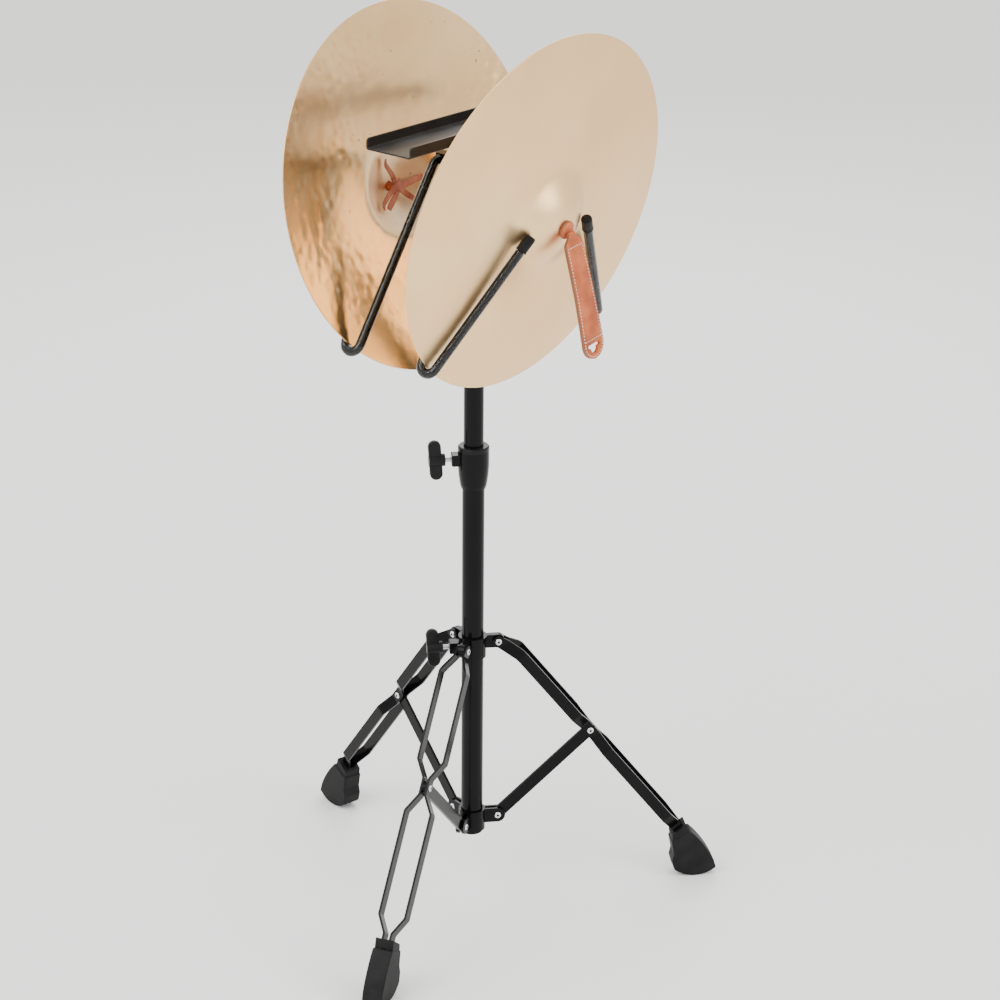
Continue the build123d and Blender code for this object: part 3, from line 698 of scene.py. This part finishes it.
bronze = bpy.data.materials.new("cymbal_bronze")
bronze.use_nodes = True
bronze_tree = bronze.node_tree
bronze_shader = bronze_tree.nodes["Principled BSDF"]
bronze_shader.inputs["Metallic"].default_value = 1
bronze_place = bronze_tree.nodes.new("ShaderNodeTexCoord").outputs["Object"]
ring_radius = attribute_node(bronze_tree, "ring_radius")
inner_side = attribute_node(bronze_tree, "inner_side")
cloud = noise_node(bronze_tree, bronze_place, 6, 3)
patch_cloud = noise_node(bronze_tree, bronze_place, 4, 2)
speck_cloud = noise_node(bronze_tree, bronze_place, 160, 2)
tint = ramp_node(
    bronze_tree, cloud, [(0.30, (0.86, 0.54, 0.25)), (0.55, (0.91, 0.60, 0.30)), (0.75, (0.95, 0.67, 0.36))]
)
inner_tint = ramp_node(
    bronze_tree, cloud, [(0.32, (0.76, 0.48, 0.22)), (0.52, (0.84, 0.55, 0.27)), (0.72, (0.90, 0.62, 0.33))]
)
bow_colour = mix_node(bronze_tree, inner_side, tint, inner_tint)
# Inside the bell the skin is paler and duller than on the bow.
bell_room = math_node(bronze_tree, "SUBTRACT", 0.066, ring_radius)
in_bell = math_node(bronze_tree, "MULTIPLY", bell_room, 70, clamp=True)
dull_bell = math_node(bronze_tree, "MULTIPLY", in_bell, inner_side)
skin_colour = mix_node(bronze_tree, dull_bell, bow_colour, (0.93, 0.70, 0.45))
# A few brown specks of scale are left inside.
speck_peak = math_node(bronze_tree, "SUBTRACT", speck_cloud, 0.70)
speck = math_node(bronze_tree, "MULTIPLY", speck_peak, 12, clamp=True)
inner_speck = math_node(bronze_tree, "MULTIPLY", speck, inner_side)
bronze_colour = mix_node(bronze_tree, inner_speck, skin_colour, (0.20, 0.11, 0.05))
bronze_tree.links.new(bronze_colour, bronze_shader.inputs["Base Color"])
smooth_part = range_node(bronze_tree, cloud, 0.30, 0.40)
mirror_part = math_node(bronze_tree, "MULTIPLY", inner_side, 0.13)
dull_part = math_node(bronze_tree, "MULTIPLY", dull_bell, 0.22)
plain_roughness = math_node(bronze_tree, "SUBTRACT", smooth_part, mirror_part)
bronze_roughness = math_node(bronze_tree, "ADD", plain_roughness, dull_part)
bronze_tree.links.new(bronze_roughness, bronze_shader.inputs["Roughness"])
# Turning lines are noise along the radius alone. Dimples are smooth cells, deep where the
# hammering is heavy and almost gone elsewhere.
groove = bronze_tree.nodes.new("ShaderNodeTexNoise")
groove.noise_dimensions = "1D"
groove.inputs["Scale"].default_value = 1
groove.inputs["Detail"].default_value = 3
bronze_tree.links.new(math_node(bronze_tree, "MULTIPLY", ring_radius, 900), groove.inputs["W"])
dimples = bronze_tree.nodes.new("ShaderNodeTexVoronoi")
dimples.feature = "SMOOTH_F1"
dimples.inputs["Scale"].default_value = 75
bronze_tree.links.new(bronze_place, dimples.inputs["Vector"])
patch_peak = math_node(bronze_tree, "SUBTRACT", patch_cloud, 0.46)
hammered = math_node(bronze_tree, "MULTIPLY", patch_peak, 5, clamp=True)
hammered_inside = math_node(bronze_tree, "MULTIPLY", hammered, inner_side)
dimple_depth = math_node(bronze_tree, "MULTIPLY", hammered_inside, 2.2)
dimple_height = math_node(bronze_tree, "MULTIPLY", dimples.outputs["Distance"], dimple_depth)
groove_height = math_node(bronze_tree, "MULTIPLY", groove.outputs["Fac"], 0.07)
bronze_height = math_node(bronze_tree, "ADD", dimple_height, groove_height)
bronze_tree.links.new(bump_node(bronze_tree, bronze_height, 0.50, 0.0014), bronze_shader.inputs["Normal"])

for (face, side_x), seed in zip(faces, (5, 8)):
    points, radius_values, inner_mask = cymbal_points(seed)
    plate = make_piece(
        f"bronze_cymbal_{face}",
        stand_up(points, side_x),
        f"cymbal_{face}",
        bronze,
        loop=True,
        sharp=1.2,
        attributes={"ring_radius": radius_values, "inner_side": inner_mask},
    )
    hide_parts(f"cymbal_{face}")

# Leather
# Straps, washers and knots are vegetable-tanned hide. The strap is tan and waxed, the
# lacing of the knot is a duller, pinker brown, and all cut edges are darker.
leather_group, group_in, group_out = node_group(
    "hide_grain",
    [("Pore Scale", "NodeSocketFloat", 420.0), ("Crease Scale", "NodeSocketFloat", 38.0)],
    [("Tone", "NodeSocketFloat"), ("Relief", "NodeSocketFloat")],
)
hide_place = leather_group.nodes.new("ShaderNodeTexCoord").outputs["Object"]
pores = leather_group.nodes.new("ShaderNodeTexVoronoi")
leather_group.links.new(hide_place, pores.inputs["Vector"])
leather_group.links.new(group_in.outputs["Pore Scale"], pores.inputs["Scale"])
creases = noise_node(leather_group, hide_place, group_in.outputs["Crease Scale"], 6)
crease_depth = math_node(leather_group, "MULTIPLY", creases, 1.6)
hide_relief = math_node(leather_group, "ADD", pores.outputs["Distance"], crease_depth)
leather_group.links.new(creases, group_out.inputs["Tone"])
leather_group.links.new(hide_relief, group_out.inputs["Relief"])


def leather_material(name, dark, middle, pale, roughness):
    """Hide coloured from dark to pale with its creases, and darker where the piece's
    attribute cut_edge is 1. roughness is (low, high)."""
    material = bpy.data.materials.new(name)
    material.use_nodes = True
    tree = material.node_tree
    shader = tree.nodes["Principled BSDF"]
    hide = tree.nodes.new("ShaderNodeGroup")
    hide.node_tree = leather_group
    colour = ramp_node(tree, hide.outputs["Tone"], [(0.28, dark), (0.50, middle), (0.74, pale)])
    stained = mix_node(tree, attribute_node(tree, "cut_edge"), colour, (0.26, 0.095, 0.045))
    tree.links.new(stained, shader.inputs["Base Color"])
    tree.links.new(range_node(tree, hide.outputs["Tone"], *roughness), shader.inputs["Roughness"])
    tree.links.new(bump_node(tree, hide.outputs["Relief"], 0.35, 0.0006), shader.inputs["Normal"])
    shader.inputs["Specular IOR Level"].default_value = 0.3
    return material


tan_leather = leather_material(
    "tan_hide",
    dark=(0.28, 0.052, 0.014),
    middle=(0.45, 0.098, 0.027),
    pale=(0.60, 0.165, 0.052),
    roughness=(0.44, 0.62),
)
lace_leather = leather_material(
    "lacing_hide",
    dark=(0.24, 0.060, 0.030),
    middle=(0.40, 0.115, 0.062),
    pale=(0.54, 0.195, 0.115),
    roughness=(0.48, 0.66),
)

# Washers and knots
# A round of hide spreads the strap's pull on the bell's outside. Inside, the strap's five
# tails are tied over and under each other and their ends lie out across the bell.
washer_r = 0.0115
washer_t = 0.0035
washer_base = bell_top + 0.0003
top_round = 0.0012
low_round = 0.0008
neck_r = 0.0040
neck_length = 0.004
knot_top = washer_base - washer_t - neck_length
tail_width = 0.0076
tail_t = 0.0022
order_step = 0.0013


def ribbon(path, across, width, thickness, rounding=0.35):
    """A flat strip along path: its section is a rounded rectangle, width along across and
    thickness square to both. width may hold one value for each point."""
    along = np.gradient(path, axis=0)
    along /= np.linalg.norm(along, axis=1, keepdims=True)
    across = across - along * np.einsum("ij,ij->i", along, across)[:, None]
    across /= np.linalg.norm(across, axis=1, keepdims=True)
    up = np.cross(along, across)
    turn = np.linspace(0, 2 * pi, 28, endpoint=False)
    wide = np.sign(np.cos(turn)) * np.abs(np.cos(turn)) ** rounding / 2
    high = np.sign(np.sin(turn)) * np.abs(np.sin(turn)) ** 0.6 / 2
    width = np.broadcast_to(np.asarray(width, dtype=float), (len(path),))
    points = (
        path[:, None]
        + across[:, None] * (wide[None, :] * width[:, None])[..., None]
        + up[:, None] * (high * thickness)[None, :, None]
    )
    edge = np.clip((np.abs(wide) * 2 - 0.93) / 0.05, 0, 1)
    return points, np.repeat(edge[None], len(path), 0)


def knot_strip(start, bend, tip, order, twist, curl):
    """One tail of the knot in the cymbal's frame, on a curve from start toward bend to tip:
    (1-t)^2 start + 2t(1-t) bend + t^2 tip. In the knot each order lies one step deeper.
    Outside it the tail drops to the bell, turned by twist, its tip lifted off by curl."""
    t = np.linspace(0, 1, 52)[:, None]
    plan = (1 - t) ** 2 * np.array(start) + 2 * t * (1 - t) * np.array(bend) + t**2 * np.array(tip)
    t = t[:, 0]
    radius = np.linalg.norm(plan, axis=1)
    near = np.clip(1.25 - radius / 0.015, 0, 1)
    near = near * near * (3 - 2 * near)
    inside_knot = knot_top - 0.0052 - order_step * order
    outside_knot = np.minimum(knot_top - 0.0072, cymbal_height(radius) - 0.0070)
    depth = near * inside_knot + (1 - near) * outside_knot - curl * np.clip((t - 0.6) / 0.4, 0, 1) ** 2
    along = np.gradient(plan, axis=0)
    along /= np.linalg.norm(along, axis=1, keepdims=True)
    turned = twist * np.clip((t - 0.45) / 0.3, 0, 1)
    across = np.stack([-along[:, 1] * np.cos(turned), along[:, 0] * np.cos(turned), np.sin(turned)], -1)
    width = tail_width - 0.0012 * np.clip((t - 0.8) / 0.2, 0, 1)
    return ribbon(np.concatenate([plan, depth[:, None]], 1), across, width, tail_t)


heart_r = 0.0064
heart_half_height = 0.0042
# Each tail's start, bend and tip, its order in the knot, its twist and its curl.
knot_tails = (
    ((0.007, -0.004), (-0.015, 0.002), (-0.035, 0.019), 0, 0.25, 0.0024),
    ((0.001, 0.009), (0.004, -0.020), (-0.004, -0.043), 1, -0.6, 0.0016),
    ((-0.008, 0.005), (0.006, -0.006), (0.021, -0.024), 2, 0.4, 0.0024),
    ((-0.006, -0.006), (0.006, 0.014), (0.022, 0.034), 3, -0.25, 0.0010),
    ((-0.001, -0.008), (0.015, 0.006), (0.025, 0.023), 1, 0.5, 0.0026),
)

rounding = np.linspace(0, pi / 2, 6)
top_side = washer_r - top_round + top_round * np.sin(rounding)
top_height = washer_base + washer_t - top_round + top_round * np.cos(rounding)
low_side = washer_r - low_round + low_round * np.cos(rounding)
low_height = washer_base + low_round - low_round * np.sin(rounding)
washer_profile = np.concatenate(
    [
        [[0.0035, washer_base + washer_t]],
        np.stack([top_side, top_height], -1),
        np.stack([low_side, low_height], -1),
        [[neck_r, washer_base], [neck_r, knot_top + 0.0002]],
    ]
)
washer_points = lathe(washer_profile, 48)
washer_edge = np.repeat((washer_profile[:, :1] > washer_r - 0.0006).astype(float), 48, 1)

heart_rows = np.linspace(0.02, pi - 0.02, 14)
heart_height = knot_top - heart_r - heart_half_height * np.cos(heart_rows)
heart = lathe(np.stack([heart_r * np.sin(heart_rows), heart_height], -1), 32)
lobes = 1 + 0.10 * np.cos(4 * np.linspace(0, 2 * pi, 32, endpoint=False))
heart[..., :2] *= lobes[None, :, None]
heart_edge = np.zeros(heart.shape[:2])


def swivel_piece(name, points, edge, leather, face, side, node):
    """A piece that turns with the strap in the bell's hole, in place of a CAD node."""
    body = f"strap_swivel_{face}"
    piece = make_piece(name, stand_up(points, side), body, leather, attributes={"cut_edge": edge})
    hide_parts(node)


for face, side_x in faces:
    knot_node = f"strap_knot_{face}"
    washer_node = f"strap_washer_{face}"
    swivel_piece(f"hide_washer_{face}", washer_points, washer_edge, tan_leather, face, side_x, washer_node)
    for number, tail_shape in enumerate(knot_tails, start=1):
        tail_points, tail_edge = knot_strip(*tail_shape)
        tail_name = f"knot_tail_{face}_{number}"
        swivel_piece(tail_name, tail_points, tail_edge, lace_leather, face, side_x, knot_node)
    swivel_piece(f"knot_heart_{face}", heart, heart_edge, lace_leather, face, side_x, knot_node)

# Hand straps
# Two thicknesses of hide sewn over a thin felt pad. A narrow neck comes out of the bell,
# widens at the shoulder, and the long grip hangs to a rounded end with a keyhole slot.
strap_length = 0.160
strap_t = 0.007
root_height = washer_base + washer_t + strap_t / 2 + 0.0004
hang = np.array([0.1686, 0.1128, -0.979])
hang /= np.linalg.norm(hang)
cymbal_out = np.array([cos(cymbal_tilt), 0, -sin(cymbal_tilt)])
strap_start = np.array([cymbal_x, 0, cymbal_z]) + cymbal_out * root_height
strap_across = np.array([0.0, 1, 0]) - hang * hang[1]
strap_across /= np.linalg.norm(strap_across)
strap_out = np.cross(strap_across, -hang)

strap_core = 0.0015
neck_gain = 0.0006
pad_puff = 0.0013
end_from = 0.141
end_reach = 0.019
slot_down = 0.146
slot_half = 0.011
slot_high = 0.005
slot_corner = 0.0006
keyhole_r = 0.007
side_in = 0.0027
top_stitch_down = 0.0180
low_stitch_down = 0.1355
dot_down = 0.0095
stitch_pitch = 0.0042
stitch_half = 0.00120
stitch_sink = 0.0003
stitch_lift = 0.00215
thread_wide = 0.00055
thread_high = 0.00045
width_places = [0, 0.003, 0.007, 0.010, 0.013, 0.020, 0.045, 0.080, 0.115, end_from]
width_values = [0.0055, 0.0062, 0.0080, 0.0120, 0.0152, 0.0162, 0.0167, 0.0171, 0.0182, 0.0190]


def strap_half_width(down):
    """Half the strap's width at a distance down from its root: the table above, smoothed,
    times the round end, half an ellipse from end_from that is end_reach long."""
    fine = np.linspace(0, strap_length, 321)
    table = np.interp(fine, width_places, width_values)
    kernel = np.hanning(11)
    smooth = np.convolve(np.pad(table, 5, mode="edge"), kernel / kernel.sum(), mode="valid")
    body = np.interp(down, fine, smooth)
    end = np.sqrt(np.maximum(1 - np.clip((down - end_from) / end_reach, 0, 1) ** 2, 0))
    return body * end


def strap_bulge(across, down):
    """Height of the padded middle above the flat hide, from 0 to 1: it rises over 5.5 mm
    inside the edge stitching and over 6 mm inside the two cross stitchings."""
    side_room = np.clip((strap_half_width(down) - 0.0035 - np.abs(across)) / 0.0055, 0, 1)
    top_room = np.clip((down - 0.0205) / 0.006, 0, 1)
    low_room = np.clip((0.133 - down) / 0.006, 0, 1)
    return np.sin(side_room * pi / 2) * np.sin(top_room * pi / 2) * np.sin(low_room * pi / 2)


def strap_bend(down):
    """How far the hanging strap bellies outwards: a shallow arc, none at its root and end."""
    return 0.0022 * np.sin(np.clip(down / strap_length, 0, 1) * pi)


def strap_place(across, down, height, side):
    """World position of a point given across, down and above the strap's middle surface."""
    place = (
        strap_start
        + across[..., None] * strap_across
        + down[..., None] * hang
        + (height + strap_bend(down))[..., None] * strap_out
    )
    return place * np.array([side, side, 1]) if side < 0 else place


def strap_points(side):
    """Rows run down the strap. Each row's section is a closed loop: outer face, cut edge,
    inner face, cut edge. Returns points and the mask of the cut edge."""
    end_rows = end_from + end_reach * np.sin(np.linspace(0, pi / 2, 34))[1:]
    row = np.concatenate([np.linspace(0, end_from, 162), end_rows])
    # The last ring stops just short of the end, where the half width is zero.
    row[-1] -= 0.00002
    half = strap_half_width(row)[:, None]
    flat = np.linspace(-1, 1, 45)
    flat = np.sign(flat) * (1 - (1 - np.abs(flat)) ** 1.15)
    edge_turn = np.linspace(pi / 2, -pi / 2, 9)[1:-1]
    edge_share = 0.985 + 0.015 * np.cos(edge_turn)
    side_share = np.concatenate([flat * 0.985, edge_share, -flat * 0.985, -edge_share])
    face_sign = np.concatenate([np.ones(45), np.sin(edge_turn), -np.ones(45), -np.sin(edge_turn)])
    across = half * side_share[None]
    down = np.repeat(row[:, None], len(side_share), 1)
    neck = np.clip((row - 0.004) / 0.012, 0, 1)[:, None]
    core = strap_core + neck_gain * neck
    puff = strap_bulge(across, down) * pad_puff
    seam = np.exp(-(((half - side_in - np.abs(across)) / 0.0007) ** 2))
    sewn = seam * np.clip((row[:, None] - 0.017) / 0.004, 0, 1)
    cross_top = np.exp(-(((down - top_stitch_down) / 0.0007) ** 2))
    cross_low = np.exp(-(((down - low_stitch_down) / 0.0007) ** 2))
    dot = np.exp(-((across**2 + (down - dot_down) ** 2) / 0.0013**2)) * 1.6
    sunk = np.clip(sewn + cross_top + cross_low + dot, 0, 1.6) * stitch_sink
    height = face_sign[None] * (core + np.abs(face_sign)[None] * (puff - sunk))
    edge = np.repeat((np.abs(side_share) > 0.975)[None].astype(float), len(row), 0)
    return strap_place(across, down, height, side), edge


def slot_cutter(side):
    """A closed prism in the shape of the keyhole: a cross slot with a half round below it."""
    round_turn = np.linspace(0, -pi, 17)
    flat_half = slot_half - slot_corner
    slot_side = slot_high - slot_corner
    outline = np.concatenate(
        [
            [[slot_half, 0.0004], [slot_half, slot_side], [flat_half, slot_high]],
            [[-flat_half, slot_high], [-slot_half, slot_side], [-slot_half, 0.0004], [-flat_half, 0.0]],
            np.stack([keyhole_r * np.cos(round_turn), keyhole_r * np.sin(round_turn)], -1)[::-1],
            [[flat_half, 0.0]],
        ]
    )
    across = outline[:, 0]
    down = slot_down - outline[:, 1]
    layers = [strap_place(across, down, np.full(len(down), height), side) for height in (-0.008, 0.008)]
    return np.stack(layers)


stitch_thread = surface_material(
    "waxed_thread",
    dark=(0.70, 0.66, 0.58),
    pale=(0.86, 0.83, 0.76),
    roughness=(0.50, 0.70),
    mottle_scale=300,
    grain_scale=3000,
    bump=(0.5, 0.0003),
)


def stitch_row(across, down, height, headings, side, name, body):
    """Thread stitches as short capsules. Each lies at (across, down) on the strap, along its
    heading, with an oval section. All stitches of a row are one mesh."""
    rings, columns = 7, 8
    lengthwise = np.linspace(-1, 1, rings)
    section = np.linspace(0, 2 * pi, columns, endpoint=False)
    thick = np.sqrt(np.maximum(1 - np.abs(lengthwise) ** 3, 0.02))
    local_l = np.repeat(lengthwise[:, None] * stitch_half, columns, 1)
    local_w = thread_wide * thick[:, None] * np.cos(section)[None]
    local_h = thread_high * thick[:, None] * np.sin(section)[None]
    c, s = np.cos(headings), np.sin(headings)
    a = across[:, None, None] + local_l * s[:, None, None] + local_w * c[:, None, None]
    d = down[:, None, None] + local_l * c[:, None, None] - local_w * s[:, None, None]
    h = height[:, None, None] + local_h
    corners = strap_place(a, d, h, side).reshape(-1, 3)
    start = np.arange(rings - 1)[:, None] * columns
    end = start + columns
    column = np.arange(columns)[None, :]
    beside = (column + 1) % columns
    quads = np.stack([start + column, start + beside, end + beside, end + column], -1).reshape(-1, 4)
    size = rings * columns
    offsets = (np.arange(len(across)) * size)[:, None, None]
    body_faces = (quads[None] + offsets).reshape(-1, 4).tolist()
    first_caps = (np.arange(columns)[::-1][None] + offsets[:, 0]).tolist()
    last_caps = (np.arange(size - columns, size)[None] + offsets[:, 0]).tolist()
    faces = body_faces + first_caps + last_caps
    a0, b0, c0 = (corners[quads[:, k]] for k in range(3))
    if np.einsum("ij,ij->i", a0 - corners[:size].mean(0), np.cross(b0 - a0, c0 - a0)).sum() < 0:
        faces = [face[::-1] for face in faces]
    mesh = bpy.data.meshes.new(name)
    mesh.from_pydata(corners.tolist(), [], faces)
    mesh.polygons.foreach_set("use_smooth", np.ones(len(mesh.polygons), dtype=bool))
    mesh.materials.append(stitch_thread)
    piece = bpy.data.objects.new(name, mesh)
    bpy.context.scene.collection.objects.link(piece)
    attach(piece, body)
    return piece


for face, side_x in faces:
    body = f"strap_{face}"
    points, edge = strap_points(side_x)
    strap = make_piece(f"hand_strap_hide_{face}", points, body, tan_leather, attributes={"cut_edge": edge})
    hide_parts(f"hand_strap_{face}")
    cutter = make_piece(f"keyhole_cutter_{face}", slot_cutter(side_x), None, tan_leather)
    cut = strap.modifiers.new("keyhole", "BOOLEAN")
    cut.operation = "DIFFERENCE"
    cut.solver = "EXACT"
    cut.object = cutter
    bpy.context.view_layer.update()
    cut_mesh = bpy.data.meshes.new_from_object(strap.evaluated_get(bpy.context.evaluated_depsgraph_get()))
    strap.modifiers.clear()
    strap.data = cut_mesh
    bpy.data.objects.remove(cutter)
    # Stitches down both long edges, round the end, and in two rows across.
    line_down = np.arange(0.0215, end_from, stitch_pitch)
    end_turn = np.linspace(0.10, pi - 0.10, 13)
    long_across = strap_half_width(line_down) - side_in
    end_across = (end_reach - side_in) * np.cos(end_turn)
    end_down = end_from + (end_reach - side_in) * np.sin(end_turn)
    top_across = np.linspace(-0.0122, 0.0122, 7)
    low_across = np.linspace(-0.0138, 0.0138, 8)
    top_down = np.full(len(top_across), top_stitch_down)
    low_down = np.full(len(low_across), low_stitch_down)
    crosswise = np.full(len(top_across) + len(low_across), pi / 2)
    across_all = np.concatenate([long_across, -long_across, end_across, top_across, low_across])
    down_all = np.concatenate([line_down, line_down, end_down, top_down, low_down])
    headings_all = np.concatenate([np.zeros(2 * len(line_down)), -end_turn, crosswise])
    for surface, sign in (("outer", 1), ("inner", -1)):
        height = np.full(len(across_all), sign * stitch_lift)
        name = f"strap_stitches_{surface}_{face}"
        thread = stitch_row(across_all, down_all, height, headings_all, side_x, name, body)
        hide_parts(f"hand_strap_{face}")
